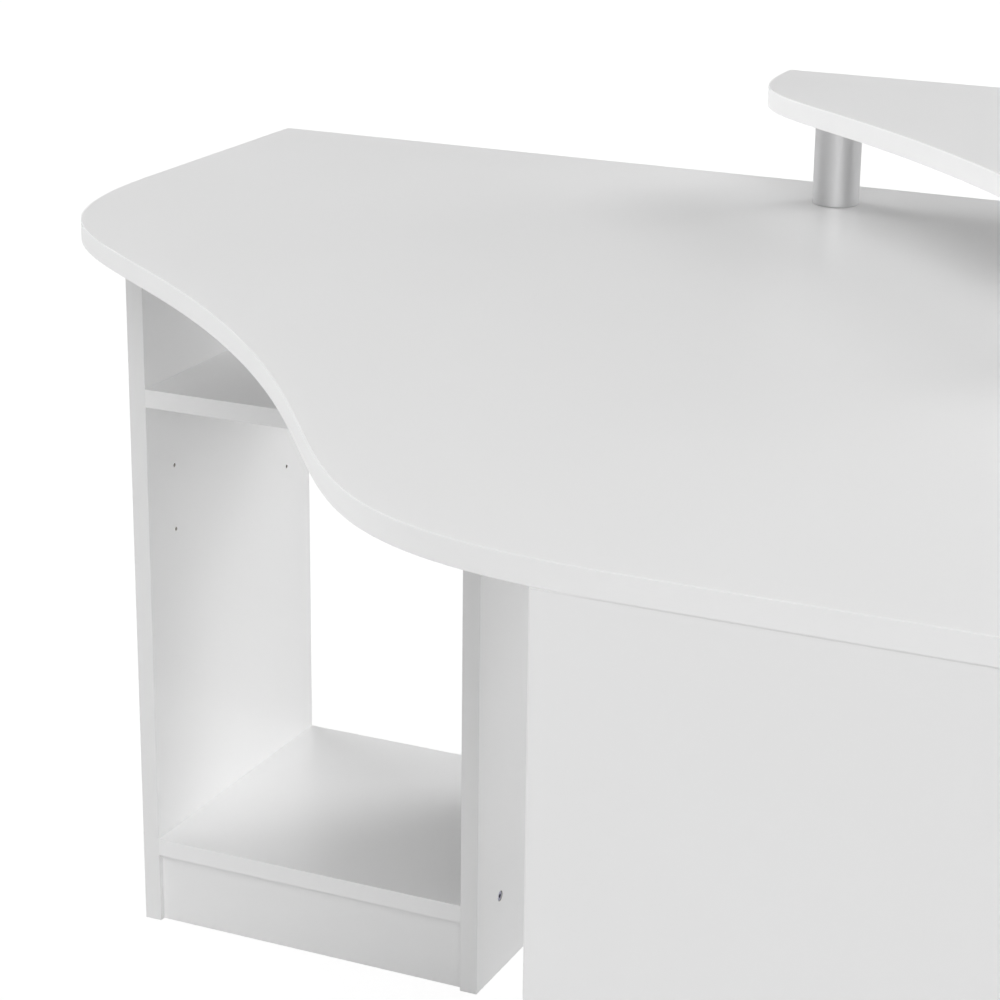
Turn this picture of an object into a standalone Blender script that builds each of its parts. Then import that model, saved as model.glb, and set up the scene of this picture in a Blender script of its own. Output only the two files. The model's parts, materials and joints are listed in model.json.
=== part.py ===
"""Corner desk with two open pedestals and a raised corner monitor shelf.

Metres, +Z up. The origin lies on the floor under the middle of the square footprint.
The two back edges of the desk are +Y and +X, so its corner is at (+X, +Y) and the
swept front edge faces (-X, -Y). Run with: blender --background --python part.py
"""

import math

import bmesh
import bpy
from mathutils import Vector

# Driving dimensions of the whole desk
DESK_SIDE = 1.100
WORKTOP_TOP = 0.755
BOARD = 0.018
GAP = 0.0003
ARRIS = 0.0012
ARRIS_SEGMENTS = 2
ARRIS_LIMIT = math.radians(40)
SHARP_ANGLE = math.radians(35)
WELD = 0.0001

HALF = DESK_SIDE / 2
WORKTOP_UNDER = WORKTOP_TOP - BOARD
SIDE_TOP = WORKTOP_UNDER - GAP

# Swept front edge of a corner board: two mirrored cubic Bezier curves. Lengths are measured
# from the corner along the back edges; the handles say how far each tangent reaches.
WORKTOP_SWEEP = {"side": DESK_SIDE, "start": 0.272, "start_handle": 0.263,
                 "middle": 0.738, "middle_handle": 0.227, "steps": 24}
SHELF_SWEEP = {"side": 0.5535, "start": 0.015, "start_handle": 0.1435,
               "middle": 0.3134, "middle_handle": 0.1745, "steps": 16}

# The worktop's top is two faces, the open one and the one under the monitor shelf. They meet
# on a line across the corner, which cuts both back edges this far from the corner.
OPEN_FROM_CORNER = 0.700

# Monitor shelf and its posts
MONITOR_SHELF_TOP = 0.8605
MONITOR_SHELF_UNDER = MONITOR_SHELF_TOP - BOARD
POST_RADIUS = 0.0215
POST_WALL = 0.0015
POST_END_PLATE = 0.003
POST_FROM_EDGE = 0.0824
POST_FROM_CORNER = 0.4758
POST_SIDES = 32

# Pedestals. Local x runs inwards from the outer side, local y from the front to the rear.
PEDESTAL_WIDTH = 0.373
REAR_OVERHANG = 0.0145
LEFT_OVERHANG = 0.011
LEFT_DEPTH = 0.324
RIGHT_OVERHANG = 0.001
RIGHT_DEPTH = 0.316
BOTTOM_UNDER = 0.073
FIXED_SHELF_UNDER = 0.545
PLINTH_SETBACK = 0.006
PLINTH_TOP = BOTTOM_UNDER - GAP

# Shelf-pin holes in the inner faces of the sides
PIN_HEIGHTS = (0.407, 0.473)
PIN_SETBACK = 0.0497
PIN_RADIUS = 0.0015
PIN_DEPTH = 0.011
PIN_SIDES = 12

# Corner upright and rails
UPRIGHT_WIDTH = 0.250
RAIL_HEIGHT = 0.150
RAIL_TOP = SIDE_TOP

# Confirmat screws
SCREW_SETBACK = 0.0527
SCREW_LENGTH = 0.050
SHORT_SCREW_LENGTH = 0.030
SCREW_HEAD_RADIUS = 0.005
SCREW_HEAD_HEIGHT = 0.0035
SCREW_SHANK_RADIUS = 0.0032
SCREW_SUNK = 0.0003
SCREW_SIDES = 12
SOCKET_SIDES = 6
SOCKET_RADIUS = 0.0023
SOCKET_DEPTH = 0.0025
HOLE_CLEARANCE = 0.0003
RAIL_SCREW_DROPS = (0.040, 0.110)
UPRIGHT_SCREW_INSETS = (0.060, 0.130)

# Cam fittings
CAM_RADIUS = 0.0075
CAM_HEIGHT = 0.0125
CAM_FROM_END = 0.034
CAM_SLOT_WIDTH = 0.0015
CAM_SLOT_DEPTH = 0.002
CAM_BOLT_RADIUS = 0.003
CAM_BOLT_INTO_SIDE = 0.011
CAM_SIDES = 16

# Steel angles that hold the worktop
BRACKET_LEG = 0.030
BRACKET_WIDTH = 0.018
BRACKET_STEEL = 0.002
BRACKET_SETBACK = 0.060

# Bolts of the monitor posts
BOLT_RADIUS = 0.003
BOLT_HEAD_RADIUS = 0.006
BOLT_HEAD_HEIGHT = 0.0035
BOLT_INTO_SHELF = 0.012
BOLT_SIDES = 12

# Cutters reach this far past a face
OVERSHOOT = 0.001
SOCKET_PROFILE = ((-OVERSHOOT, SOCKET_RADIUS), (SOCKET_DEPTH, SOCKET_RADIUS))

X_AXIS = Vector((1, 0, 0))
Y_AXIS = Vector((0, 1, 0))
Z_AXIS = Vector((0, 0, 1))


# Materials

def plain_material(name, colour, roughness, metallic):
    material = bpy.data.materials.get(name)
    if material is None:
        material = bpy.data.materials.new(name)
        material.use_nodes = True
        shader = material.node_tree.nodes["Principled BSDF"]
        shader.inputs["Base Color"].default_value = (*colour, 1.0)
        shader.inputs["Roughness"].default_value = roughness
        shader.inputs["Metallic"].default_value = metallic
        material.diffuse_color = (*colour, 1.0)
    return material


def white_melamine():
    return plain_material("white_melamine", (0.86, 0.86, 0.86), 0.38, 0.0)


def satin_metal():
    return plain_material("satin_metal", (0.70, 0.70, 0.71), 0.28, 1.0)


def zinc_steel():
    return plain_material("zinc_steel", (0.58, 0.60, 0.66), 0.35, 1.0)


def cast_zinc():
    return plain_material("cast_zinc", (0.50, 0.50, 0.51), 0.50, 1.0)


# Building blocks

def clear_scene():
    for obj in list(bpy.data.objects):
        bpy.data.objects.remove(obj, do_unlink=True)


def new_object(name, mesh_builder, material=None, location=(0, 0, 0)):
    mesh = bpy.data.meshes.new(name)
    bm = bmesh.new()
    mesh_builder(bm)
    bmesh.ops.recalc_face_normals(bm, faces=bm.faces)
    bm.to_mesh(mesh)
    bm.free()
    if material:
        mesh.materials.append(material)
    obj = bpy.data.objects.new(name, mesh)
    obj.location = location
    bpy.context.scene.collection.objects.link(obj)
    return obj


def soften(obj):
    bevel = obj.modifiers.new("arris", "BEVEL")
    bevel.width = ARRIS
    bevel.segments = ARRIS_SEGMENTS
    bevel.limit_method = "ANGLE"
    bevel.angle_limit = ARRIS_LIMIT
    return obj


def board(name, low, high):
    """A rectangular board between two corners, with its edges softened."""
    low, high = Vector(low), Vector(high)
    size = high - low

    def build(bm):
        cube = bmesh.ops.create_cube(bm, size=1.0)
        bmesh.ops.scale(bm, vec=size, verts=cube["verts"])

    return soften(new_object(name, build, white_melamine(), (low + high) / 2))


def turn(bm, start, axis, profile, sides):
    """Turn a profile of (along, radius) pairs about an axis, and return its rings of vertices."""
    axis = Vector(axis).normalized()
    across = axis.orthogonal().normalized()
    up = axis.cross(across)
    rings = []
    for along, radius in profile:
        centre = Vector(start) + axis * along
        ring = []
        for i in range(sides):
            angle = 2 * math.pi * i / sides
            outwards = across * math.cos(angle) + up * math.sin(angle)
            ring.append(bm.verts.new(centre + outwards * radius))
        rings.append(ring)
    for ring, following in zip(rings, rings[1:]):
        for i in range(sides):
            j = (i + 1) % sides
            bm.faces.new((ring[i], ring[j], following[j], following[i]))
    return rings


def turned_solid(bm, start, axis, profile, sides):
    rings = turn(bm, start, axis, profile, sides)
    bm.faces.new(rings[0])
    bm.faces.new(rings[-1])


def cut(obj, name, mesh_builder):
    """Cut everything that mesh_builder makes, in world coordinates, out of obj."""
    cutter = new_object(f"{obj.name}_{name}_cutter", mesh_builder)
    cutter.hide_render = True
    cutter.display_type = "WIRE"
    modifier = obj.modifiers.new(name, "BOOLEAN")
    modifier.operation = "DIFFERENCE"
    modifier.solver = "EXACT"
    modifier.object = cutter


def smooth_round(obj):
    obj.data.shade_smooth()
    obj.data.set_sharp_from_angle(angle=SHARP_ANGLE)
    return obj


# Fastenings: each says where it sits, and which boards it passes through

class Confirmat:
    """A screw from a board's outer face, through that board and into the next one."""

    def __init__(self, name, face_point, inwards, through, into, length=SCREW_LENGTH):
        self.name = name
        self.head = Vector(face_point)
        self.axis = Vector(inwards).normalized()
        self.boards = (through, into)
        self.length = length

    def hole(self, bm):
        head = SCREW_HEAD_RADIUS + HOLE_CLEARANCE
        shank = SCREW_SHANK_RADIUS + HOLE_CLEARANCE
        step = SCREW_SUNK + SCREW_HEAD_HEIGHT + HOLE_CLEARANCE
        end = SCREW_SUNK + self.length + HOLE_CLEARANCE
        profile = ((-OVERSHOOT, head), (step, head), (step, shank), (end, shank))
        turned_solid(bm, self.head, self.axis, profile, SCREW_SIDES)

    def make(self):
        start = self.head + self.axis * SCREW_SUNK

        def build(bm):
            profile = (
                (0, SCREW_HEAD_RADIUS),
                (SCREW_HEAD_HEIGHT, SCREW_HEAD_RADIUS),
                (SCREW_HEAD_HEIGHT, SCREW_SHANK_RADIUS),
                (self.length, SCREW_SHANK_RADIUS),
            )
            turned_solid(bm, start, self.axis, profile, SCREW_SIDES)

        def socket(bm):
            turned_solid(bm, start, self.axis, SOCKET_PROFILE, SOCKET_SIDES)

        screw = smooth_round(new_object(self.name, build, zinc_steel()))
        cut(screw, "socket", socket)


class CamFitting:
    """A cam in a board's underside and a bolt from it into the side, both out of sight."""

    def __init__(self, name, side_face, towards_side, centre_height, side, held):
        self.name = name
        self.joint = Vector(side_face)
        self.axis = Vector(towards_side).normalized()
        self.centre_height = centre_height
        self.boards = (side, held)
        self.cam_centre = self.joint - self.axis * (GAP + CAM_FROM_END)

    def cam_base(self):
        return Vector((self.cam_centre.x, self.cam_centre.y, self.centre_height - BOARD / 2))

    def hole(self, bm):
        radius = CAM_BOLT_RADIUS + HOLE_CLEARANCE
        start = self.cam_centre + self.axis * (CAM_RADIUS - OVERSHOOT)
        start.z = self.centre_height
        end = CAM_FROM_END - CAM_RADIUS + OVERSHOOT + GAP + CAM_BOLT_INTO_SIDE + HOLE_CLEARANCE
        turned_solid(bm, start, self.axis, ((0, radius), (end, radius)), SCREW_SIDES)

    def pocket(self, bm):
        radius = CAM_RADIUS + HOLE_CLEARANCE
        profile = ((-OVERSHOOT, radius), (CAM_HEIGHT + HOLE_CLEARANCE, radius))
        turned_solid(bm, self.cam_base(), Z_AXIS, profile, CAM_SIDES)

    def make(self):
        def cam(bm):
            profile = ((0, CAM_RADIUS), (CAM_HEIGHT, CAM_RADIUS))
            turned_solid(bm, self.cam_base(), Z_AXIS, profile, CAM_SIDES)

        def slot(bm):
            cube = bmesh.ops.create_cube(bm, size=1.0)
            size = Vector((CAM_RADIUS, CAM_SLOT_WIDTH, CAM_SLOT_DEPTH * 2))
            bmesh.ops.scale(bm, vec=size, verts=cube["verts"])
            bmesh.ops.translate(bm, vec=self.cam_base(), verts=cube["verts"])

        def bolt(bm):
            start = self.cam_centre + self.axis * (CAM_RADIUS + 2 * HOLE_CLEARANCE)
            start.z = self.centre_height
            length = CAM_FROM_END - CAM_RADIUS - 2 * HOLE_CLEARANCE + GAP + CAM_BOLT_INTO_SIDE
            profile = ((0, CAM_BOLT_RADIUS), (length, CAM_BOLT_RADIUS))
            turned_solid(bm, start, self.axis, profile, BOLT_SIDES)

        housing = smooth_round(new_object(self.name, cam, cast_zinc()))
        cut(housing, "slot", slot)
        smooth_round(new_object(f"{self.name}_bolt", bolt, zinc_steel()))


def drill(boards, fittings):
    """Drill every fitting's hole into each board that it passes through."""
    for name, obj in boards.items():
        here = [fitting for fitting in fittings if name in fitting.boards]

        def holes(bm):
            for fitting in here:
                fitting.hole(bm)

        def pockets(bm):
            for fitting in here:
                if isinstance(fitting, CamFitting) and fitting.boards[1] == name:
                    fitting.pocket(bm)

        if here:
            cut(obj, "fastening_holes", holes)
        if any(isinstance(fitting, CamFitting) and fitting.boards[1] == name for fitting in here):
            cut(obj, "cam_pockets", pockets)


# Corner boards with a swept front edge

def bezier(points, steps):
    p0, p1, p2, p3 = points
    curve = []
    for i in range(steps + 1):
        t = i / steps
        s = 1 - t
        curve.append(p0 * s**3 + p1 * 3 * s * s * t + p2 * 3 * s * t * t + p3 * t**3)
    return curve


def corner_outline(side, start, start_handle, middle, middle_handle, steps):
    """Outline of a corner board, as distances (a, b) from the corner along -X and -Y."""
    reach = middle_handle
    half = bezier(
        (
            Vector((side, start)),
            Vector((side, start + start_handle)),
            Vector((middle + reach, middle - reach)),
            Vector((middle, middle)),
        ),
        steps,
    )
    mirrored = [Vector((point.y, point.x)) for point in reversed(half[:-1])]
    return [Vector((0, 0)), Vector((side, 0)), *half, *mirrored, Vector((0, side))]


def corner_board(name, sweep, under, divided_at=None):
    """A corner board, with its top divided this far from the corner along both back edges."""
    outline = corner_outline(**sweep)

    def build(bm):
        lower = [bm.verts.new((HALF - point.x, HALF - point.y, under)) for point in outline]
        base = bm.faces.new(lower)
        grown = bmesh.ops.extrude_face_region(bm, geom=[base])["geom"]
        raised = [item for item in grown if isinstance(item, bmesh.types.BMVert)]
        bmesh.ops.translate(bm, vec=Z_AXIS * BOARD, verts=raised)
        if divided_at:
            top = [item for item in grown if isinstance(item, bmesh.types.BMFace)]
            around = {item for face in top for item in (*face.verts, *face.edges)}
            bmesh.ops.bisect_plane(
                bm,
                geom=[*top, *around],
                plane_co=(HALF - divided_at, HALF, under),
                plane_no=(1, 1, 0),
            )

    return soften(new_object(name, build, white_melamine()))


# Pedestals

class Pedestal:
    """An open pedestal. The right one is built like the left one, mirrored about the diagonal."""

    def __init__(self, name, outer, front, depth, mirrored):
        self.name = name
        self.outer = outer
        self.front = front
        self.depth = depth
        self.mirrored = mirrored
        self.boards = {}

    def world(self, x, y, z):
        if self.mirrored:
            return Vector((self.front + y, self.outer + x, z))
        return Vector((self.outer + x, self.front + y, z))

    def inwards(self):
        return Y_AXIS if self.mirrored else X_AXIS

    def add(self, part, low, high):
        name = f"{self.name}_{part}"
        self.boards[name] = board(name, self.world(*low), self.world(*high))

    def make_boards(self):
        inner = PEDESTAL_WIDTH - BOARD
        span = (BOARD + GAP, inner - GAP)
        self.add("outer_side", (0, 0, 0), (BOARD, self.depth, SIDE_TOP))
        self.add("inner_side", (inner, 0, 0), (PEDESTAL_WIDTH, self.depth, SIDE_TOP))
        for part, under in (("bottom_board", BOTTOM_UNDER), ("fixed_shelf", FIXED_SHELF_UNDER)):
            self.add(part, (span[0], 0, under), (span[1], self.depth, under + BOARD))
        plinth_back = PLINTH_SETBACK + BOARD
        self.add("plinth", (span[0], PLINTH_SETBACK, 0), (span[1], plinth_back, PLINTH_TOP))

    def drill_shelf_pins(self):
        faces = (("outer_side", BOARD, -1), ("inner_side", PEDESTAL_WIDTH - BOARD, 1))
        for part, face, sense in faces:
            def holes(bm):
                for height in PIN_HEIGHTS:
                    for y in (PIN_SETBACK, self.depth - PIN_SETBACK):
                        start = self.world(face - sense * OVERSHOOT, y, height)
                        profile = ((0, PIN_RADIUS), (OVERSHOOT + PIN_DEPTH, PIN_RADIUS))
                        turned_solid(bm, start, self.inwards() * sense, profile, PIN_SIDES)

            cut(self.boards[f"{self.name}_{part}"], "shelf_pins", holes)

    def rows(self):
        """Each cross board's name, its mid height, and the fittings' places along its end."""
        for part, under in (("bottom_board", BOTTOM_UNDER), ("fixed_shelf", FIXED_SHELF_UNDER)):
            for place, y in (("front", SCREW_SETBACK), ("rear", self.depth - SCREW_SETBACK)):
                yield part, under + BOARD / 2, place, y

    def fittings(self, hidden_outer):
        found = []
        for part, height, place, y in self.rows():
            into = f"{self.name}_{part}"
            inner = f"{self.name}_inner_side"
            outer = f"{self.name}_outer_side"
            face = self.world(PEDESTAL_WIDTH, y, height)
            found.append(Confirmat(f"{into}_inner_screw_{place}", face, -self.inwards(), inner, into))
            if hidden_outer:
                joint = self.world(BOARD, y, height)
                cam = f"{into}_cam_{place}"
                found.append(CamFitting(cam, joint, -self.inwards(), height, outer, into))
            else:
                face = self.world(0, y, height)
                found.append(Confirmat(f"{into}_outer_screw_{place}", face, self.inwards(), outer, into))
        return found

    def brackets(self):
        for part, face, sense in (("outer", BOARD, 1), ("inner", PEDESTAL_WIDTH - BOARD, -1)):
            for place, y in (("front", BRACKET_SETBACK), ("rear", self.depth - BRACKET_SETBACK)):
                corner = self.world(face + sense * GAP, y, SIDE_TOP)
                angle_bracket(f"{self.name}_{part}_bracket_{place}", corner, self.inwards() * sense)


# Loose hardware

def angle_bracket(name, corner, away):
    """A steel angle in the corner between an upright face and the worktop's underside."""
    away = Vector(away).normalized()
    along = away.cross(Z_AXIS)
    outline = (
        (0, 0), (BRACKET_LEG, 0), (BRACKET_LEG, BRACKET_STEEL), (BRACKET_STEEL, BRACKET_STEEL),
        (BRACKET_STEEL, BRACKET_LEG), (0, BRACKET_LEG),
    )

    def build(bm):
        near = corner - along * BRACKET_WIDTH / 2
        ring = [bm.verts.new(near + away * out - Z_AXIS * down) for out, down in outline]
        face = bm.faces.new(ring)
        grown = bmesh.ops.extrude_face_region(bm, geom=[face])
        far = [item for item in grown["geom"] if isinstance(item, bmesh.types.BMVert)]
        bmesh.ops.translate(bm, vec=along * BRACKET_WIDTH, verts=far)

    new_object(name, build, zinc_steel())


def monitor_post(name, x, y):
    """A tube with a plate welded in each end, and a bolt hole through both plates."""
    base = WORKTOP_TOP + GAP
    height = MONITOR_SHELF_UNDER - GAP - base
    bore = BOLT_RADIUS + HOLE_CLEARANCE
    inside = POST_RADIUS - POST_WALL
    profile = (
        (0, bore), (0, POST_RADIUS), (height, POST_RADIUS), (height, bore),
        (height - POST_END_PLATE, bore), (height - POST_END_PLATE, inside),
        (POST_END_PLATE, inside), (POST_END_PLATE, bore), (0, bore),
    )

    def build(bm):
        turn(bm, (x, y, base), Z_AXIS, profile, POST_SIDES)
        bmesh.ops.remove_doubles(bm, verts=bm.verts, dist=WELD)

    smooth_round(new_object(name, build, satin_metal()))


def post_bolt(name, x, y):
    """A bolt from under the worktop, through the post and into the monitor shelf."""
    under = WORKTOP_UNDER - GAP
    tip = MONITOR_SHELF_UNDER + BOLT_INTO_SHELF
    start = Vector((x, y, under - BOLT_HEAD_HEIGHT))
    profile = (
        (0, BOLT_HEAD_RADIUS), (BOLT_HEAD_HEIGHT, BOLT_HEAD_RADIUS),
        (BOLT_HEAD_HEIGHT, BOLT_RADIUS), (tip - start.z, BOLT_RADIUS),
    )

    def build(bm):
        turned_solid(bm, start, Z_AXIS, profile, BOLT_SIDES)

    def recess(bm):
        turned_solid(bm, start, Z_AXIS, SOCKET_PROFILE, SOCKET_SIDES)

    bolt = smooth_round(new_object(name, build, zinc_steel()))
    cut(bolt, "socket", recess)


def post_places():
    near = HALF - POST_FROM_EDGE
    far = HALF - POST_FROM_CORNER
    return {"left": (far, near), "corner": (near, near), "front": (near, far)}


def drill_post_holes(obj, low, high):
    def holes(bm):
        radius = BOLT_RADIUS + HOLE_CLEARANCE
        for x, y in post_places().values():
            turned_solid(bm, (x, y, low), Z_AXIS, ((0, radius), (high - low, radius)), BOLT_SIDES)

    cut(obj, "post_holes", holes)


# Frame under the worktop

def stiffening_frame(left, right):
    """The corner upright, the two rails, and the screws that hold them."""
    plane = HALF - REAR_OVERHANG
    rail_low = RAIL_TOP - RAIL_HEIGHT
    left_face = left.outer + PEDESTAL_WIDTH
    right_face = right.outer + PEDESTAL_WIDTH
    inside = plane - BOARD
    boards = {
        "corner_upright": board(
            "corner_upright", (plane - UPRIGHT_WIDTH, inside, 0), (plane, plane, SIDE_TOP)
        ),
        "side_rail": board(
            "side_rail", (inside, right_face + GAP, rail_low), (plane, inside - GAP, RAIL_TOP)
        ),
        "back_rail": board(
            "back_rail",
            (left_face + GAP, inside - GAP - BOARD, rail_low),
            (inside - GAP, inside - GAP, RAIL_TOP),
        ),
    }
    rail_y = inside - GAP - BOARD / 2
    rail_x = plane - BOARD / 2
    screws = []
    for place, drop in zip(("upper", "lower"), RAIL_SCREW_DROPS):
        height = RAIL_TOP - drop
        left_inside = (left_face - BOARD, rail_y, height)
        screws.append(
            Confirmat(f"back_rail_screw_{place}", left_inside, X_AXIS, "left_inner_side", "back_rail")
        )
        right_inside = (rail_x, right_face - BOARD, height)
        screws.append(
            Confirmat(f"side_rail_screw_{place}", right_inside, Y_AXIS, "right_inner_side", "side_rail")
        )
        outside = (rail_x, plane, height)
        screws.append(
            Confirmat(f"upright_end_screw_{place}", outside, -Y_AXIS, "corner_upright", "side_rail")
        )
    for place, inset in zip(("right", "left"), UPRIGHT_SCREW_INSETS):
        start = (plane - inset, plane, RAIL_TOP - RAIL_HEIGHT / 2)
        screws.append(
            Confirmat(f"upright_face_screw_{place}", start, -Y_AXIS, "corner_upright", "back_rail",
                      SHORT_SCREW_LENGTH)
        )
    return boards, screws


def corner_bracket():
    plane = HALF - REAR_OVERHANG
    x = plane - UPRIGHT_WIDTH + BRACKET_SETBACK
    face = plane - 2 * BOARD - 2 * GAP
    angle_bracket("corner_bracket", Vector((x, face, SIDE_TOP)), -Y_AXIS)


def main():
    clear_scene()

    worktop = corner_board("worktop", WORKTOP_SWEEP, WORKTOP_UNDER, OPEN_FROM_CORNER)
    drill_post_holes(worktop, WORKTOP_UNDER - OVERSHOOT, WORKTOP_TOP + OVERSHOOT)
    monitor_shelf = corner_board("monitor_shelf", SHELF_SWEEP, MONITOR_SHELF_UNDER)
    blind_end = MONITOR_SHELF_UNDER + BOLT_INTO_SHELF + HOLE_CLEARANCE
    drill_post_holes(monitor_shelf, MONITOR_SHELF_UNDER - OVERSHOOT, blind_end)
    for place, (x, y) in post_places().items():
        monitor_post(f"monitor_post_{place}", x, y)
        post_bolt(f"monitor_post_{place}_bolt", x, y)

    rear = HALF - REAR_OVERHANG
    left = Pedestal("left", LEFT_OVERHANG - HALF, rear - LEFT_DEPTH, LEFT_DEPTH, mirrored=False)
    right = Pedestal("right", RIGHT_OVERHANG - HALF, rear - RIGHT_DEPTH, RIGHT_DEPTH, mirrored=True)
    for pedestal in (left, right):
        pedestal.make_boards()
        pedestal.drill_shelf_pins()
        pedestal.brackets()
    frame_boards, frame_screws = stiffening_frame(left, right)
    corner_bracket()

    boards = {**left.boards, **right.boards, **frame_boards}
    fittings = left.fittings(hidden_outer=False) + right.fittings(hidden_outer=True) + frame_screws
    drill(boards, fittings)
    for fitting in fittings:
        fitting.make()


main()
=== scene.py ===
"""The look of the white corner desk: melamine boards with plastic edge bands, satin metal posts
and zinc fittings, in a plain white studio.

Metres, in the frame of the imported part: the desk's own corner is at (+X, +Y) and its swept front
edge faces (-X, -Y).
"""

import json
import math

import bmesh
import bpy
from mathutils import Matrix, Vector


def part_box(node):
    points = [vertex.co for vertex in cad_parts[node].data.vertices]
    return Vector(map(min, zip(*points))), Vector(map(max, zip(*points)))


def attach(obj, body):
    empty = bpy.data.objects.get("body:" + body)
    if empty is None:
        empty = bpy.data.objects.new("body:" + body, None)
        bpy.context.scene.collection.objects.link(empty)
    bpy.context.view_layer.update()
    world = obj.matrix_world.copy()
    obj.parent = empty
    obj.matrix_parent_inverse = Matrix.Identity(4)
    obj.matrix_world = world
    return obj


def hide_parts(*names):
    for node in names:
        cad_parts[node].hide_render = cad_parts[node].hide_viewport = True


MM = 0.001

# Swept front edges: two mirrored cubic Bezier curves each, measured from the desk's corner
WORKTOP_SWEEP = {"side": 1.100, "start": 0.272, "start_handle": 0.263,
                 "middle": 0.738, "middle_handle": 0.227, "steps": 72}
SHELF_SWEEP = {"side": 0.5535, "start": 0.015, "start_handle": 0.1435,
               "middle": 0.3134, "middle_handle": 0.1745, "steps": 56}

# Edge bands: thickness and radius of the trimmed edges
CURVED_BAND = {"thick": 1.5 * MM, "arris": 0.3 * MM}
STRAIGHT_BAND = {"thick": 1.0 * MM, "arris": 0.3 * MM}
ARRIS_STEPS = 5
# The hairline between a band and its board, and the closed joint between two boards
SEAM_GAP = 0.03 * MM
SEAM_CHAMFER = 0.03 * MM
JOINT_GAP = 0.04 * MM

# Holes: radius and depth of each kind of bore, and where the shelf pins go
PIN_BORE = {"radius": 1.75 * MM, "depth": 11 * MM}
HEAD_BORE = {"radius": 5.15 * MM, "depth": 4.2 * MM}
SHANK_BORE = {"radius": 3.3 * MM, "depth": 14 * MM}
CAM_BORE = {"radius": 7.6 * MM, "depth": 12.8 * MM}
PIN_HEIGHTS = (0.407, 0.473)
PIN_SETBACK = 0.0497
RIM_CHAMFER = 0.25 * MM
HOLE_SIDES = 32
# How far a cutter stands out of the surface it cuts; also the reach for finding a neighbour
OVERSHOOT = 1 * MM

# Shading: edges sharper than this stay sharp
SHARP = math.radians(34)
ROUND_SIDES = 48
SMALL_SIDES = 32
POST_SIDES = 128

# Looks of the boards
MELAMINE_IOR = 1.9
BAND_IOR = 1.5
# Band whites: one band plastic in two copies by how its board stands. The upright copy's lower
# white is painted shade on the upright edges; the level white, a little above the face's, is partly
# the plastic's own white and partly painted light on the front edges.
LEVEL_BAND_WHITE = 0.90
UPRIGHT_BAND_SHADED_WHITE = 0.855
STREAK_CONTRAST = 0.005

X_AXIS = Vector((1, 0, 0))
Y_AXIS = Vector((0, 1, 0))
Z_AXIS = Vector((0, 0, 1))
AXES = (X_AXIS, Y_AXIS, Z_AXIS)


# Materials

class Tree:
    """Adds nodes to one node tree: sockets given a socket are linked, others are set."""

    def __init__(self, tree):
        self.tree = tree

    def add(self, kind, inputs=None, **settings):
        node = self.tree.nodes.new(kind)
        for name, value in settings.items():
            setattr(node, name, value)
        for name, value in (inputs or {}).items():
            self.feed(node.inputs[name], value)
        return node

    def feed(self, socket, value):
        if isinstance(value, bpy.types.NodeSocket):
            self.tree.links.new(value, socket)
        else:
            socket.default_value = value

    def noise(self, place, scale, detail=2.0, roughness=0.5, stretch=(1, 1, 1)):
        if stretch != (1, 1, 1):
            mapping = self.add("ShaderNodeMapping", {"Vector": place, "Scale": stretch})
            place = mapping.outputs["Vector"]
        inputs = {"Vector": place, "Scale": scale, "Detail": detail, "Roughness": roughness}
        return self.add("ShaderNodeTexNoise", inputs).outputs["Fac"]

    def ramp(self, factor, *stops):
        node = self.add("ShaderNodeValToRGB", {"Fac": factor})
        elements = node.color_ramp.elements
        elements[0].position, elements[0].color = stops[0][0], (*stops[0][1], 1)
        elements[1].position, elements[1].color = stops[-1][0], (*stops[-1][1], 1)
        for position, colour in stops[1:-1]:
            elements.new(position).color = (*colour, 1)
        return node.outputs["Color"]

    def span(self, factor, low, high, start=0.3, end=0.7):
        inputs = {
            "Value": factor, "From Min": start, "From Max": end, "To Min": low, "To Max": high,
        }
        return self.add("ShaderNodeMapRange", inputs).outputs["Result"]

    def add_up(self, first, second):
        node = self.add("ShaderNodeMath", operation="ADD")
        self.feed(node.inputs[0], first)
        self.feed(node.inputs[1], second)
        return node.outputs[0]

    def bump(self, height, distance, strength=1.0, normal=None):
        inputs = {"Height": height, "Distance": distance, "Strength": strength}
        if normal is not None:
            inputs["Normal"] = normal
        return self.add("ShaderNodeBump", inputs).outputs["Normal"]


def grey(value, warmth=0.0):
    """A near-neutral linear colour, a little warmer for a positive warmth."""
    return value * (1 + warmth), value, value * (1 - warmth)


def start_material(name):
    material = bpy.data.materials.new(name)
    material.use_nodes = True
    tree = Tree(material.node_tree)
    shader = material.node_tree.nodes["Principled BSDF"]
    place = tree.add("ShaderNodeTexCoord").outputs["Object"]
    return material, tree, shader, place


def melamine():
    """White melamine face: a fine pearl grain, faint clouding, and slightly uneven gloss."""
    material, tree, shader, place = start_material("white_melamine")
    cloud = tree.noise(place, 4.0, detail=3.0)
    tree.feed(shader.inputs["Base Color"],
              tree.ramp(cloud, (0.30, grey(0.877, 0.001)), (0.70, grey(0.883, -0.001))))
    patches = tree.noise(place, 9.0, detail=2.0)
    tree.feed(shader.inputs["Roughness"], tree.span(patches, 0.30, 0.33))
    grain = tree.noise(place, 850.0, detail=2.0, roughness=0.6)
    peel = tree.noise(place, 130.0, detail=1.0)
    fine = tree.bump(grain, 0.030 * MM, 0.8)
    tree.feed(shader.inputs["Normal"], tree.bump(peel, 0.040 * MM, 0.8, fine))
    shader.inputs["IOR"].default_value = MELAMINE_IOR
    return material


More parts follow.
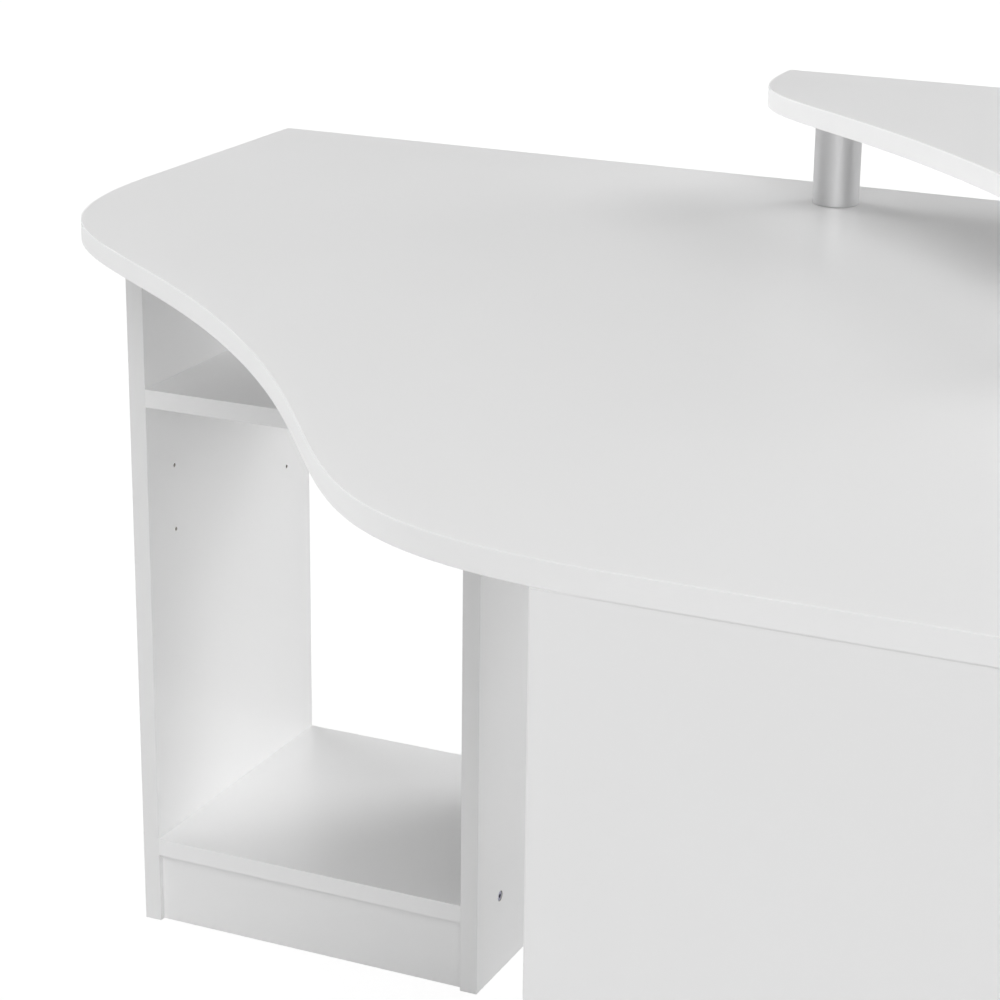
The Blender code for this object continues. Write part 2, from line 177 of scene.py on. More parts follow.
def edge_band(name, stretch, white):
    """White plastic edge band, slightly glossier, with faint drawn streaks along its length."""
    material, tree, shader, place = start_material(name)
    streaks = tree.noise(place, 40.0, detail=4.0, roughness=0.65, stretch=stretch)
    dark, light = grey(white - STREAK_CONTRAST), grey(white + STREAK_CONTRAST)
    tree.feed(shader.inputs["Base Color"], tree.ramp(streaks, (0.30, dark), (0.70, light)))
    tree.feed(shader.inputs["Roughness"], tree.span(streaks, 0.46, 0.52))
    tree.feed(shader.inputs["Normal"], tree.bump(streaks, 0.010 * MM, 0.4))
    shader.inputs["IOR"].default_value = BAND_IOR
    return material


def chipboard():
    """Raw particle board, seen only inside the holes and the hairlines."""
    material, tree, shader, place = start_material("chipboard")
    flakes = tree.add("ShaderNodeTexVoronoi", {"Vector": place, "Scale": 700.0}).outputs["Color"]
    shade = tree.add("ShaderNodeRGBToBW", {"Color": flakes}).outputs["Val"]
    tree.feed(shader.inputs["Base Color"],
              tree.ramp(shade, (0.1, (0.36, 0.34, 0.31)), (0.9, (0.56, 0.53, 0.49))))
    tree.feed(shader.inputs["Normal"], tree.bump(shade, 0.15 * MM, 0.6))
    shader.inputs["Roughness"].default_value = 0.85
    return material


def satin_metal():
    """Satin metal tube, finely brushed round its girth."""
    material, tree, shader, place = start_material("satin_metal")
    brushing = tree.noise(place, 60.0, detail=4.0, roughness=0.7, stretch=(1, 1, 60))
    cloud = tree.noise(place, 30.0, detail=2.0)
    tree.feed(shader.inputs["Base Color"],
              tree.ramp(cloud, (0.3, (0.795, 0.795, 0.80)), (0.7, (0.82, 0.82, 0.825))))
    tree.feed(shader.inputs["Roughness"], tree.span(brushing, 0.36, 0.43))
    tree.feed(shader.inputs["Normal"], tree.bump(brushing, 0.004 * MM, 0.35))
    shader.inputs["Metallic"].default_value = 1.0
    shader.inputs["Anisotropic"].default_value = 0.3
    shader.inputs["Anisotropic Rotation"].default_value = 0.25
    return material


def zinc():
    """Bright zinc plating with a slight blue passivation tint that varies over the surface."""
    material, tree, shader, place = start_material("zinc_plate")
    tint = tree.noise(place, 260.0, detail=3.0)
    tree.feed(shader.inputs["Base Color"],
              tree.ramp(tint, (0.32, (0.52, 0.50, 0.66)), (0.5, (0.60, 0.59, 0.72)),
                        (0.7, (0.68, 0.68, 0.75))))
    scuffs = tree.noise(place, 1800.0, detail=3.0, roughness=0.7)
    tree.feed(shader.inputs["Roughness"], tree.span(scuffs, 0.22, 0.38))
    tree.feed(shader.inputs["Normal"], tree.bump(scuffs, 0.006 * MM, 0.4))
    shader.inputs["Metallic"].default_value = 1.0
    return material


def socket_shadow():
    """Plating inside a screw's socket, painted dark: painted shade in the recess, mottled at
    random.
    """
    material, tree, shader, place = start_material("socket_painted_shade")
    shade_mottle = tree.noise(place, 900.0, detail=3.0)
    tree.feed(shader.inputs["Base Color"],
              tree.ramp(shade_mottle, (0.3, (0.12, 0.11, 0.17)), (0.7, (0.20, 0.19, 0.27))))
    tree.feed(shader.inputs["Roughness"], tree.span(shade_mottle, 0.35, 0.55))
    shader.inputs["Metallic"].default_value = 1.0
    return material


def cast_zinc():
    """Dull die-cast zinc with a slightly pitted skin."""
    material, tree, shader, place = start_material("cast_zinc")
    skin = tree.noise(place, 1500.0, detail=4.0, roughness=0.7)
    tree.feed(shader.inputs["Base Color"],
              tree.ramp(skin, (0.3, (0.40, 0.40, 0.41)), (0.7, (0.52, 0.52, 0.53))))
    tree.feed(shader.inputs["Roughness"], tree.span(skin, 0.42, 0.60))
    tree.feed(shader.inputs["Normal"], tree.bump(skin, 0.03 * MM, 0.5))
    shader.inputs["Metallic"].default_value = 1.0
    return material


# Pieces

def finish_piece(name, bm, materials, slot, *nodes):
    """Make a piece from a mesh that is already in place, to stand for these CAD nodes."""
    bmesh.ops.recalc_face_normals(bm, faces=bm.faces)
    mesh = bpy.data.meshes.new(name)
    bm.to_mesh(mesh)
    bm.free()
    for material in materials:
        mesh.materials.append(material)
    mesh.shade_smooth()
    mesh.set_sharp_from_angle(angle=SHARP)
    piece = bpy.data.objects.new(name, mesh)
    bpy.context.scene.collection.objects.link(piece)
    weighted = piece.modifiers.new("even_normals", "WEIGHTED_NORMAL")
    weighted.keep_sharp = True
    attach(piece, "root")
    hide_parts(*nodes)
    return piece


def carved(bm, cutters, materials):
    """The mesh bm with every cutter mesh taken out of it; cut faces take the cutter's material."""
    solid = throwaway(bm, materials)
    tools = []
    for cutter in cutters:
        tool = throwaway(cutter, materials[-1:])
        tools.append(tool)
        modifier = solid.modifiers.new("cut", "BOOLEAN")
        modifier.operation = "DIFFERENCE"
        modifier.solver = "EXACT"
        modifier.material_mode = "TRANSFER"
        modifier.object = tool
    graph = bpy.context.evaluated_depsgraph_get()
    mesh = bpy.data.meshes.new_from_object(solid.evaluated_get(graph))
    result = bmesh.new()
    result.from_mesh(mesh)
    for spare in (solid, *tools):
        bpy.data.objects.remove(spare, do_unlink=True)
    bpy.data.meshes.remove(mesh)
    return result


def throwaway(bm, materials):
    bmesh.ops.recalc_face_normals(bm, faces=bm.faces)
    mesh = bpy.data.meshes.new("throwaway")
    bm.to_mesh(mesh)
    bm.free()
    for material in materials:
        mesh.materials.append(material)
    obj = bpy.data.objects.new("throwaway", mesh)
    bpy.context.scene.collection.objects.link(obj)
    return obj


def turned(bm, start, axis, profile, sides=ROUND_SIDES):
    """A solid turned about an axis from (along, radius) pairs, closed by a disc at each end."""
    axis = Vector(axis).normalized()
    across = axis.orthogonal().normalized()
    up = axis.cross(across)
    rings = []
    for along, radius in profile:
        centre = Vector(start) + axis * along
        ring = []
        for i in range(sides):
            angle = 2 * math.pi * i / sides
            outwards = across * math.cos(angle) + up * math.sin(angle)
            ring.append(bm.verts.new(centre + outwards * radius))
        rings.append(ring)
    for ring, following in zip(rings, rings[1:]):
        for i in range(sides):
            j = (i + 1) % sides
            bm.faces.new((ring[i], ring[j], following[j], following[i]))
    bm.faces.new(rings[0])
    bm.faces.new(rings[-1])


def drilled(start, inwards, radius, depth):
    """A cutter for a blind hole with a slightly broken rim."""
    cutter = bmesh.new()
    rim = radius + RIM_CHAMFER
    profile = ((-OVERSHOOT, rim), (0, rim), (RIM_CHAMFER, radius), (depth, radius))
    turned(cutter, start, inwards, profile, HOLE_SIDES)
    return cutter


def block(bm, low, high):
    low, high = Vector(low), Vector(high)
    cube = bmesh.ops.create_cube(bm, size=1.0)
    bmesh.ops.scale(bm, vec=high - low, verts=cube["verts"])
    bmesh.ops.translate(bm, vec=(low + high) / 2, verts=cube["verts"])
    return cube["verts"]


# Boards

def inset(outline, distances):
    """A closed 2-D outline with each of its sides moved inwards by its own distance."""
    area = sum(p.cross(q) for p, q in zip(outline, outline[1:] + outline[:1]))
    side = 1 if area > 0 else -1
    moved = []
    count = len(outline)
    for i, point in enumerate(outline):
        before = (point - outline[i - 1]).normalized()
        after = (outline[(i + 1) % count] - point).normalized()
        first = Vector((-before.y, before.x)) * side
        second = Vector((-after.y, after.x)) * side
        shift = first * distances[i - 1] + second * distances[i]
        moved.append(point + shift / (1 + first.dot(second)))
    return moved


def inset_bands(outline, banded, distance):
    return inset(outline, [distance if side else 0 for side in banded])


def strip(bm, first, second, material):
    """A row of faces between two equally long rows of vertices."""
    for corners in zip(first, first[1:], second[1:], second):
        bm.faces.new(corners).material_index = material


def skin(bm, first, second, material):
    strip(bm, first + first[:1], second + second[:1], material)


def core(outline, banded, thick, band, place):
    """The board inside its edge bands: faces in melamine, sides and bare ends in chipboard."""
    bm = bmesh.new()
    edge = band["thick"] + SEAM_GAP
    profile = (
        (edge + SEAM_CHAMFER, 0), (edge, SEAM_CHAMFER),
        (edge, thick - SEAM_CHAMFER), (edge + SEAM_CHAMFER, thick),
    )
    rings = []
    for distance, height in profile:
        line = inset_bands(outline, banded, distance)
        rings.append([bm.verts.new(place(point, height)) for point in line])
    for first, second, material in zip(rings, rings[1:], (0, 2, 0)):
        skin(bm, first, second, material)
    bm.faces.new(rings[0])
    bm.faces.new(rings[-1])
    return bm


def band_runs(banded):
    """The corner numbers along each unbroken run of banded sides."""
    count = len(banded)
    if all(banded):
        return [[*range(count), 0]]
    runs = []
    for i in range(count):
        if banded[i] and not banded[i - 1]:
            run = [i]
            while banded[run[-1]]:
                run.append((run[-1] + 1) % count)
            runs.append(run)
    return runs


def add_bands(bm, outline, banded, thick, band, place):
    """Edge bands with rounded outer edges along the banded sides of an outline."""
    radius = band["arris"]
    inner = band["thick"]
    turn = [math.pi / 2 * i / ARRIS_STEPS for i in range(ARRIS_STEPS + 1)]
    lower = [(radius - radius * math.sin(t), radius - radius * math.cos(t)) for t in turn]
    upper = [(distance, thick - height) for distance, height in reversed(lower)]
    profile = [
        (inner, SEAM_CHAMFER), (inner - SEAM_CHAMFER, 0), *lower,
        *upper, (inner - SEAM_CHAMFER, thick), (inner, thick - SEAM_CHAMFER),
    ]
    for run in band_runs(banded):
        rows = []
        for distance, height in profile:
            line = inset_bands(outline, banded, distance)
            made = {i: bm.verts.new(place(line[i], height)) for i in dict.fromkeys(run)}
            rows.append([made[i] for i in run])
        for first, second in zip(rows, rows[1:] + rows[:1]):
            strip(bm, first, second, 1)
        if run[0] != run[-1]:
            for end in (0, -1):
                bm.faces.new([row[end] for row in rows]).material_index = 1


def banded_board(name, outline, banded, thick, band, place, cutters, materials):
    bm = core(outline, banded, thick, band, place)
    if cutters:
        bm = carved(bm, cutters, materials)
    add_bands(bm, outline, banded, thick, band, place)
    finish_piece(f"{name}_panel", bm, materials, "white_board", name)


def bezier(points, steps):
    p0, p1, p2, p3 = points
    curve = []
    for i in range(steps + 1):
        t = i / steps
        s = 1 - t
        curve.append(p0 * s**3 + p1 * 3 * s * s * t + p2 * 3 * s * t * t + p3 * t**3)
    return curve


def corner_outline(side, start, start_handle, middle, middle_handle, steps):
    """Outline of a corner board, as distances (a, b) from the corner along -X and -Y."""
    half = bezier(
        (
            Vector((side, start)),
            Vector((side, start + start_handle)),
            Vector((middle + middle_handle, middle - middle_handle)),
            Vector((middle, middle)),
        ),
        steps,
    )
    mirrored = [Vector((point.y, point.x)) for point in reversed(half[:-1])]
    return [Vector((0, 0)), Vector((side, 0)), *half, *mirrored, Vector((0, side))]


def corner_board(name, sweep, materials):
    low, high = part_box(name)

    def place(point, height):
        return Vector((high.x - point.x, high.y - point.y, low.z + height))

    outline = corner_outline(**sweep)
    banded = [True] * len(outline)
    banded_board(name, outline, banded, high.z - low.z, CURVED_BAND, place, [], materials)


def gap_beside(name, axis, sense):
    """The gap between a board's end and the board it butts against, or None at a free edge."""
    low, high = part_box(name)
    for other in names_in_slot("white_board"):
        other_low, other_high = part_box(other)
        gap = other_low[axis] - high[axis] if sense > 0 else low[axis] - other_high[axis]
        beside = all(
            other_low[i] < high[i] and other_high[i] > low[i] for i in range(3) if i != axis
        )
        if beside and 0 < gap < OVERSHOOT:
            return gap
    return None


def straight_board(name, cutters, materials):
    """A flat board, banded on top and on its free edges, and bare where it butts another board."""
    low, high = (Vector(corner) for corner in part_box(name))
    size = high - low
    thin = min(range(3), key=lambda i: size[i])
    across, along = [i for i in range(3) if i != thin]
    banded = []
    for axis, sense in ((along, -1), (across, 1), (along, 1), (across, -1)):
        gap = gap_beside(name, axis, sense)
        on_top = AXES[axis] * sense == Z_AXIS
        banded.append(gap is None or on_top)
        if gap is not None:
            end = high if sense > 0 else low
            end[axis] += (gap - JOINT_GAP) * sense
    outline = [
        Vector((low[across], low[along])), Vector((high[across], low[along])),
        Vector((high[across], high[along])), Vector((low[across], high[along])),
    ]

    def place(point, height):
        spot = Vector((0, 0, 0))
        spot[across], spot[along], spot[thin] = point.x, point.y, low[thin] + height
        return spot

    banded_board(name, outline, banded, size[thin], STRAIGHT_BAND, place, cutters, materials)


# Fittings

class Shank:
    """Where a turned fitting of the part lies: its wide end, its direction and its length."""

    def __init__(self, node):
        low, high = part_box(node)
        size = high - low
        self.long = max(range(3), key=lambda i: size[i])
        middle = (low + high) / 2
        ends = []
        for value in (low[self.long], high[self.long]):
            spread = [
                (v.co - middle)[i] ** 2
                for v in frame["nodes"][node].data.vertices
                for i in range(3)
                if i != self.long and abs(v.co[self.long] - value) < OVERSHOOT
            ]
            ends.append(max(spread))
        sense = 1 if ends[0] >= ends[1] else -1
        self.length = size[self.long]
        self.axis = AXES[self.long] * sense
        self.head = middle - self.axis * self.length / 2


def hex_socket(start, axis, across_flats, depth):
    cutter = bmesh.new()
    radius = across_flats / 2 / math.cos(math.pi / 6)
    turned(cutter, start, axis, ((-OVERSHOOT, radius), (depth, radius)), 6)
    return cutter


def confirmat(node, materials):
    """A sunk zinc screw: flat head with a broken edge, hexagon socket and ribs for its thread."""
    at = Shank(node)
    bm = bmesh.new()
    head, neck, core_radius, thread, tip = 4.95 * MM, 2.6 * MM, 2.1 * MM, 3.1 * MM, 0.8 * MM
    top, under, pitch = 0.1 * MM, 3.4 * MM, 3.0 * MM
    profile = [(top, head - 0.6 * MM), (top + 0.35 * MM, head), (under - 0.6 * MM, head),
               (under, neck), (under + 8 * MM, neck)]
    along = under + 9 * MM
    while along < at.length - 5 * MM:
        profile += [(along, core_radius), (along + 0.9 * MM, thread), (along + 1.3 * MM, thread),
                    (along + 2.2 * MM, core_radius)]
        along += pitch
    profile += [(at.length - 2.5 * MM, core_radius), (at.length, tip)]
    turned(bm, at.head, at.axis, profile)
    socket = hex_socket(at.head + at.axis * top, at.axis, 4.0 * MM, 2.8 * MM)
    bm = carved(bm, [socket], materials)
    finish_piece(f"{node}_zinc", bm, materials, "screw_zinc", node)


def post_bolt(node, materials):
    """A bolt with a chamfered socket head against the worktop's underside."""
    at = Shank(node)
    bm = bmesh.new()
    head, shank, under = 6.0 * MM, 3.0 * MM, 3.5 * MM
    profile = ((0, head - 0.6 * MM), (0.4 * MM, head), (under - 0.2 * MM, head),
               (under, head - 0.2 * MM), (under, shank), (at.length - 0.8 * MM, shank),
               (at.length, shank - 0.8 * MM))
    turned(bm, at.head, at.axis, profile)
    bm = carved(bm, [hex_socket(at.head, at.axis, 4 * MM, 2.4 * MM)], materials)
    finish_piece(f"{node}_zinc", bm, materials, "screw_zinc", node)


def cam_bolt(node, materials):
    """The plain pin that a cam pulls on."""
    at = Shank(node)
    bm = bmesh.new()
    radius, tip = 3.0 * MM, 0.7 * MM
    profile = ((0, radius - tip), (tip, radius),
               (at.length - tip, radius), (at.length, radius - tip))
    turned(bm, at.head, at.axis, profile)
    finish_piece(f"{node}_zinc", bm, materials, "screw_zinc", node)


def cross_recess(centre, axis, reach, width, depth):
    """Two crossed bars that cut a screwdriver recess."""
    cutters = []
    across = axis.orthogonal().normalized()
    for turn in (0, math.pi / 2):
        cutter = bmesh.new()
        verts = block(cutter, (-reach, -width / 2, -OVERSHOOT), (reach, width / 2, depth))
        frame_of = Matrix((across, axis.cross(across), axis)).transposed().to_4x4()
        spin = Matrix.Rotation(turn, 4, "Z")
        matrix = Matrix.Translation(centre) @ frame_of @ spin
        bmesh.ops.transform(cutter, matrix=matrix, verts=verts)
        cutters.append(cutter)
    return cutters


def cam(node, materials):
    """A cam let into the underside of its board, with a rim and a cross recess."""
    low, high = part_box(node)
    centre = (low + high) / 2
    base = Vector((centre.x, centre.y, low.z))
    radius = (high.x - low.x) / 2
    bm = bmesh.new()
    profile = ((0.5 * MM, 1.0 * MM), (0.5 * MM, radius - 1.4 * MM), (0, radius - 1.0 * MM),
               (0, radius - 0.3 * MM), (0.3 * MM, radius), (high.z - low.z, radius))
    turned(bm, base, Z_AXIS, profile)
    recess = cross_recess(base + Z_AXIS * 0.5 * MM, Z_AXIS, 3.6 * MM, 1.3 * MM, 2.2 * MM)
    bm = carved(bm, recess, materials)
    finish_piece(f"{node}_cast", bm, materials, "cam_zinc", node)


def pan_head(materials):
    """The mesh of a domed screw head with a cross recess, standing on the XY plane."""
    bm = bmesh.new()
    profile = ((-2.0 * MM, 1.6 * MM), (0, 1.6 * MM), (0, 3.4 * MM), (0.7 * MM, 3.5 * MM),
               (1.3 * MM, 3.1 * MM), (1.75 * MM, 2.2 * MM), (1.95 * MM, 1.0 * MM))
    turned(bm, (0, 0, 0), Z_AXIS, profile, SMALL_SIDES)
    top = Vector((0, 0, 1.95 * MM))
    bm = carved(bm, cross_recess(top, -Z_AXIS, 1.8 * MM, 0.7 * MM, 1.2 * MM), materials)
    mesh = bpy.data.meshes.new("pan_head")
    bm.to_mesh(mesh)
    bm.free()
    return mesh


def bracket(node, screw, materials):
    """A steel angle under the worktop, bent from strip, with a screw through each leg."""
    low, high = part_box(node)
    centre = (low + high) / 2
    feet = [v.co for v in frame["nodes"][node].data.vertices if v.co.z < low.z + OVERSHOOT]
    foot = sum(feet, Vector()) / len(feet)
    towards = Vector((foot.x - centre.x, foot.y - centre.y, 0))
    wide_axis = 0 if abs(towards.x) < abs(towards.y) else 1
    towards[wide_axis] = 0
    towards.normalize()
    width = (high - low)[wide_axis]
    leg = high.z - low.z
    steel, bend, leg_corner = 2.0 * MM, 3.0 * MM, 4 * MM
    screw_reach = 0.6
    corner = Vector((centre.x, centre.y, high.z)) + towards * leg / 2
    turn = [math.pi / 2 * i / 6 for i in range(7)]
    outer = [(bend - bend * math.sin(t), bend - bend * math.cos(t)) for t in turn]
    tight = bend - steel
    inner = [(bend - tight * math.sin(t), bend - tight * math.cos(t)) for t in reversed(turn)]
    outline = [(leg, 0), *outer, (0, leg), (steel, leg), *inner, (leg, steel)]
    along = AXES[wide_axis]
    bm = bmesh.new()
    near = [bm.verts.new(corner - towards * out - Z_AXIS * down - along * width / 2)
            for out, down in outline]
    far = [bm.verts.new(v.co + along * width) for v in near]
    skin(bm, near, far, 0)
    bm.faces.new(near)
    bm.faces.new(far)
    short = [e for e in bm.edges if is_leg_corner(e, corner, towards, leg, steel)]
    bmesh.ops.bevel(bm, geom=short, offset=leg_corner, segments=5, profile=0.5, affect="EDGES")
    bm = in_order(bm)
    for spot, axis in (
        (corner - towards * leg * screw_reach - Z_AXIS * steel, -Z_AXIS),
        (corner - Z_AXIS * leg * screw_reach - towards * steel, -towards),
    ):
        turn_to = axis.to_track_quat("Z", "Y").to_matrix().to_4x4()
        placed = screw.copy()
        placed.transform(Matrix.Translation(spot) @ turn_to)
        bm.from_mesh(placed)
        bpy.data.meshes.remove(placed)
    finish_piece(f"{node}_zinc", bm, materials, "bracket_steel", node)


def in_order(bm):
    """The same mesh in an order that depends only on its shape, since a bevel's order varies."""
    spots = sorted(bm.verts, key=lambda v: tuple(v.co))
    rank = {v: i for i, v in enumerate(spots)}
    rings = []
    for face in bm.faces:
        ring = [rank[v] for v in face.verts]
        first = ring.index(min(ring))
        rings.append(ring[first:] + ring[:first])
    ordered = bmesh.new()
    verts = [ordered.verts.new(v.co) for v in spots]
    for ring in sorted(rings):
        ordered.faces.new([verts[i] for i in ring])
    bm.free()
    return ordered


def is_leg_corner(edge, corner, towards, leg, steel):
    """Whether an edge is one of the four short corners at the free ends of a bracket's legs."""
    if abs(edge.calc_length() - steel) > 0.01 * MM:
        return False
    middle = (edge.verts[0].co + edge.verts[1].co) / 2 - corner
    out, down = -middle.dot(towards), -middle.z
    return out > leg - 0.1 * MM or down > leg - 0.1 * MM


def monitor_post(node, materials):
    """A tube with broken edges, closed because its ends lie against boards."""
    low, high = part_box(node)
    centre = (low + high) / 2
    radius = (high.x - low.x) / 2
    height = high.z - low.z
    bm = bmesh.new()
    edge = 0.5 * MM
    profile = ((0, radius - edge), (edge * 0.3, radius - edge * 0.3), (edge, radius),
               (height / 2, radius), (height - edge, radius),
               (height - edge * 0.3, radius - edge * 0.3), (height, radius - edge))
    turned(bm, (centre.x, centre.y, low.z), Z_AXIS, profile, POST_SIDES)
    finish_piece(f"{node}_tube", bm, materials, "post_metal", node)


# The desk

def names_in_slot(slot):
    return [row["node"] for row in frame["record"]["subparts"] if row["material_slot"] == slot]


def inside(point, name):
    low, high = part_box(name)
    return all(low[i] <= point[i] <= high[i] for i in range(3))


def screw_holes(name, screws):
    """Cutters for the screws whose heads are sunk in this board."""
    low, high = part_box(name)
    cutters = []
    for at in screws:
        if inside(at.head, name):
            face = Vector(at.head)
            face[at.long] = low[at.long] if at.axis[at.long] > 0 else high[at.long]
            cutters.append(drilled(face, at.axis, **HEAD_BORE))
            cutters.append(drilled(face, at.axis, **SHANK_BORE))
    return cutters


def pin_holes(name):
    """Cutters for the shelf-pin holes in a side's face towards the inside of its pedestal."""
    low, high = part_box(name)
    pedestal = name.split("_")[0]
    shelf_low, shelf_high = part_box(f"{pedestal}_fixed_shelf")
    shelf = (shelf_low + shelf_high) / 2
    across, along = (0, 1) if pedestal == "left" else (1, 0)
    outwards = low[across] > shelf[across]
    face = low[across] if outwards else high[across]
    inwards = AXES[across] * (1 if outwards else -1)
    cutters = []
    for height in PIN_HEIGHTS:
        for place in (low[along] + PIN_SETBACK, high[along] - PIN_SETBACK):
            start = Vector((0, 0, height))
            start[across], start[along] = face, place
            cutters.append(drilled(start, inwards, **PIN_BORE))
    return cutters


def cam_pockets(name, cams):
    """Cutters for the cams let into this board's underside."""
    low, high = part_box(name)
    cutters = []
    for node in cams:
        cam_low, cam_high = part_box(node)
        centre = (cam_low + cam_high) / 2
        if node.startswith(name):
            start = Vector((centre.x, centre.y, low.z))
            cutters.append(drilled(start, Z_AXIS, **CAM_BORE))
    return cutters


def build_desk():
    flat_band = edge_band("edge_band_level", (1, 1, 45), LEVEL_BAND_WHITE)
    # The upright boards' band: the same plastic with a darker white, painted shade.
    upright_band_painted_shade = edge_band("edge_band_upright_painted_shade", (45, 45, 1), UPRIGHT_BAND_SHADED_WHITE)
    face, raw = melamine(), chipboard()
    # dark: the sockets' plating painted dark, painted shade in the recesses.
    plate, dark = zinc(), socket_shadow()
    level = [face, flat_band, raw]
    upright = [face, upright_band_painted_shade, raw]

    corner_board("worktop", WORKTOP_SWEEP, level)
    corner_board("monitor_shelf", SHELF_SWEEP, level)

    screws = [node for node in names_in_slot("screw_zinc") if "_screw_" in node]
    cams = names_in_slot("cam_zinc")
    places = [Shank(node) for node in screws]
    for name in names_in_slot("white_board"):
        if name in ("worktop", "monitor_shelf"):
            continue
        cutters = screw_holes(name, places) + cam_pockets(name, cams)
        if name.endswith("_side"):
            cutters += pin_holes(name)
        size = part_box(name)[1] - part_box(name)[0]
        straight_board(name, cutters, upright if size.z > size.x and size.z > size.y else level)

    for node in names_in_slot("screw_zinc"):
        if "_screw_" in node:
            confirmat(node, [plate, dark])
        elif node.startswith("monitor_post"):
            post_bolt(node, [plate, dark])
        else:
            cam_bolt(node, [plate])
    cast = cast_zinc()
    for node in cams:
        cam(node, [cast])
    head = pan_head([plate])
    for node in names_in_slot("bracket_steel"):
        bracket(node, head, [plate])
    metal = satin_metal()
    for node in names_in_slot("post_metal"):
        monitor_post(node, [metal])


# Studio: a white room with broad soft lamps

CAMERA_PLACE = (0.8398, -1.9496, 1.305)
CAMERA_YAW = math.radians(24.546)
CAMERA_PITCH = math.radians(18.543)
CAMERA_ROLL = math.radians(0.675)
CAMERA_LENS = 99.43
SENSOR_WIDTH = 36

# Soft lamps for the matt part of every surface: azimuth (0 is -Y, 90 is +X, 180 is +Y),
# elevation and radius in degrees, and strength. The strengths here and in PATCHES are not
# hand-set: a least-squares program outside this script picked the rows and worked them out.
LAMPS = (
    (135, 6, 12, 0.58), (135, 24, 15, 0.79), (135, 42, 15, 0.54), (255, 12, 18, 2.16),
    (270, 48, 24, 0.24), (285, 24, 20, 0.06), (30, 12, 18, 0.73), (0, 48, 24, 0.53),
    (30, 48, 24, 0.84), (120, 48, 24, 0.21), (240, 48, 24, 0.08), (0, 90, 30, 0.20),
    (0, 12, 18, 0.28), (75, 12, 18, 0.05),
)
# What gloss sees: azimuth and elevation of each bright patch, the angles at which it starts
# to fade and has gone, and its brightness
PATCHES = (
    (30, 8, 10, 40, 0.50), (75, 8, 10, 40, 0.30), (120, 8, 10, 40, 0.41), (165, 8, 10, 40, 0.39),
    (210, 8, 10, 40, 0.09), (255, 8, 10, 40, 0.22), (345, 8, 10, 40, 0.07),
    (0, 45, 12, 44, 0.73), (60, 45, 12, 44, 0.04), (120, 45, 12, 44, 0.31),
    (240, 45, 12, 44, 0.37), (0, 90, 12, 42, 0.48), (30, 8, 4, 22, 0.43), (210, 20, 4, 24, 0.13),
)
# The backdrop and the floor as the camera sees them, and the floor as light bounces off it
BACKDROP_WHITE = 1.1
FLOOR_GLOW = 0.90
FLOOR_SHADE = 0.15
FLOOR_GREY = 0.64
FLOOR_SIZE = 60
FLOOR_DROP = 0.3 * MM


def patch_axis(azimuth, elevation):
    """The direction from the desk to a lamp or a bright patch."""
    a, e = math.radians(azimuth), math.radians(elevation)
    return Vector((math.sin(a) * math.cos(e), -math.cos(a) * math.cos(e), math.sin(e)))


def hang_lamps():
    """Very wide suns that gloss does not see."""
    for number, (azimuth, elevation, radius, strength) in enumerate(LAMPS):
        lamp = bpy.data.lights.new(f"soft_lamp_{number}", "SUN")
        lamp.energy = strength
        lamp.angle = math.radians(2 * radius)
        holder = bpy.data.objects.new(lamp.name, lamp)
        holder.visible_glossy = False
        holder.rotation_mode = "QUATERNION"
        holder.rotation_quaternion = patch_axis(azimuth, elevation).to_track_quat("Z", "Y")
        bpy.context.scene.collection.objects.link(holder)


def light_room():
    """Lamps for matt surfaces and an evenly bright room for gloss, so that no view is blown out."""
    hang_lamps()
    world = bpy.data.worlds.new("studio")
    bpy.context.scene.world = world
    world.cycles_visibility.diffuse = False
    world.use_nodes = True
    world.node_tree.nodes.clear()
    tree = Tree(world.node_tree)
    direction = tree.add("ShaderNodeTexCoord").outputs["Generated"]
    total = 0.0
    for azimuth, elevation, full, gone, strength in PATCHES:
        dot = tree.add("ShaderNodeVectorMath", operation="DOT_PRODUCT")
        tree.feed(dot.inputs[0], direction)
        tree.feed(dot.inputs[1], patch_axis(azimuth, elevation))
        inputs = {
            "Value": dot.outputs["Value"],
            "From Min": math.cos(math.radians(gone)), "From Max": math.cos(math.radians(full)),
            "To Min": 0.0, "To Max": strength,
        }
        soft = tree.add("ShaderNodeMapRange", inputs, interpolation_type="SMOOTHSTEP")
        total = tree.add_up(soft.outputs["Result"], total)
    lighting = tree.add("ShaderNodeBackground", {"Color": (1, 1, 1, 1), "Strength": total})
    backdrop = tree.add("ShaderNodeBackground", {"Color": (1, 1, 1, 1), "Strength": BACKDROP_WHITE})
    seen = tree.add("ShaderNodeLightPath").outputs["Is Camera Ray"]
    mixed = tree.add("ShaderNodeMixShader", {"Fac": seen})
    tree.feed(mixed.inputs[1], lighting.outputs[0])
    tree.feed(mixed.inputs[2], backdrop.outputs[0])
    tree.add("ShaderNodeOutputWorld", {"Surface": mixed.outputs[0]})


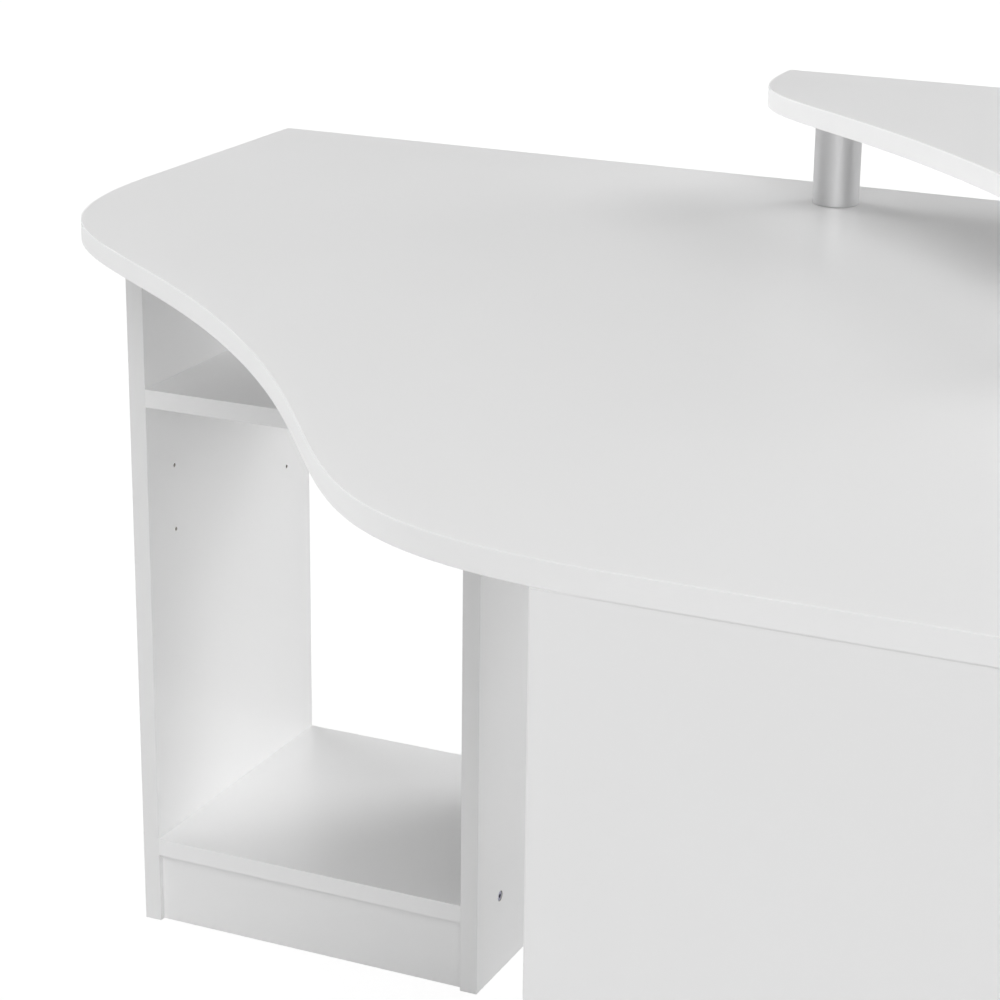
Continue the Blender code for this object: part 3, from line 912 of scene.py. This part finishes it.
def lay_floor():
    """A pale floor, lit up to the white of the backdrop, with only a faint shadow on it."""
    bm = bmesh.new()
    bmesh.ops.create_grid(bm, x_segments=1, y_segments=1, size=FLOOR_SIZE / 2)
    mesh = bpy.data.meshes.new("floor")
    bm.to_mesh(mesh)
    bm.free()
    floor = bpy.data.objects.new("floor", mesh)
    floor.location.z = -FLOOR_DROP
    bpy.context.scene.collection.objects.link(floor)
    material = bpy.data.materials.new("pale_floor")
    material.use_nodes = True
    material.node_tree.nodes.clear()
    tree = Tree(material.node_tree)
    plain = tree.add("ShaderNodeBsdfDiffuse", {"Color": (*grey(FLOOR_GREY), 1)})
    shade = tree.add("ShaderNodeBsdfDiffuse", {"Color": (*grey(FLOOR_SHADE), 1)})
    glow = tree.add("ShaderNodeEmission", {"Color": (1, 1, 1, 1), "Strength": FLOOR_GLOW})
    bright = tree.add("ShaderNodeAddShader")
    tree.feed(bright.inputs[0], shade.outputs[0])
    tree.feed(bright.inputs[1], glow.outputs[0])
    seen = tree.add("ShaderNodeLightPath").outputs["Is Camera Ray"]
    mixed = tree.add("ShaderNodeMixShader", {"Fac": seen})
    tree.feed(mixed.inputs[1], plain.outputs[0])
    tree.feed(mixed.inputs[2], bright.outputs[0])
    tree.add("ShaderNodeOutputMaterial", {"Surface": mixed.outputs[0]})
    mesh.materials.append(material)


def place_camera():
    """The camera at the picture's viewing angle, without shift."""
    data = bpy.data.cameras.new("camera")
    data.lens = CAMERA_LENS
    data.sensor_width = SENSOR_WIDTH
    camera = bpy.data.objects.new("camera", data)
    ahead = Vector((
        -math.sin(CAMERA_YAW) * math.cos(CAMERA_PITCH),
        math.cos(CAMERA_YAW) * math.cos(CAMERA_PITCH),
        -math.sin(CAMERA_PITCH),
    ))
    aim = ahead.to_track_quat("-Z", "Y").to_matrix() @ Matrix.Rotation(CAMERA_ROLL, 3, "Z")
    camera.matrix_world = Matrix.Translation(CAMERA_PLACE) @ aim.to_4x4()
    bpy.context.scene.collection.objects.link(camera)
    bpy.context.scene.camera = camera


with open("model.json") as file:
    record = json.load(file)
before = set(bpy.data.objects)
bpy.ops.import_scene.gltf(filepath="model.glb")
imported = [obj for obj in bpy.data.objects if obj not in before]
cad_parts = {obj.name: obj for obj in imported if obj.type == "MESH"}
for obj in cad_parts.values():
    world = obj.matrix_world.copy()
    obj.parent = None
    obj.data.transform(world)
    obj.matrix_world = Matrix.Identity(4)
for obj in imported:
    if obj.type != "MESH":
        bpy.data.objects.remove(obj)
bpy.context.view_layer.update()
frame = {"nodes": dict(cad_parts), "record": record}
build_desk()
lay_floor()
light_room()
place_camera()
bpy.context.scene.view_settings.view_transform = "Standard"
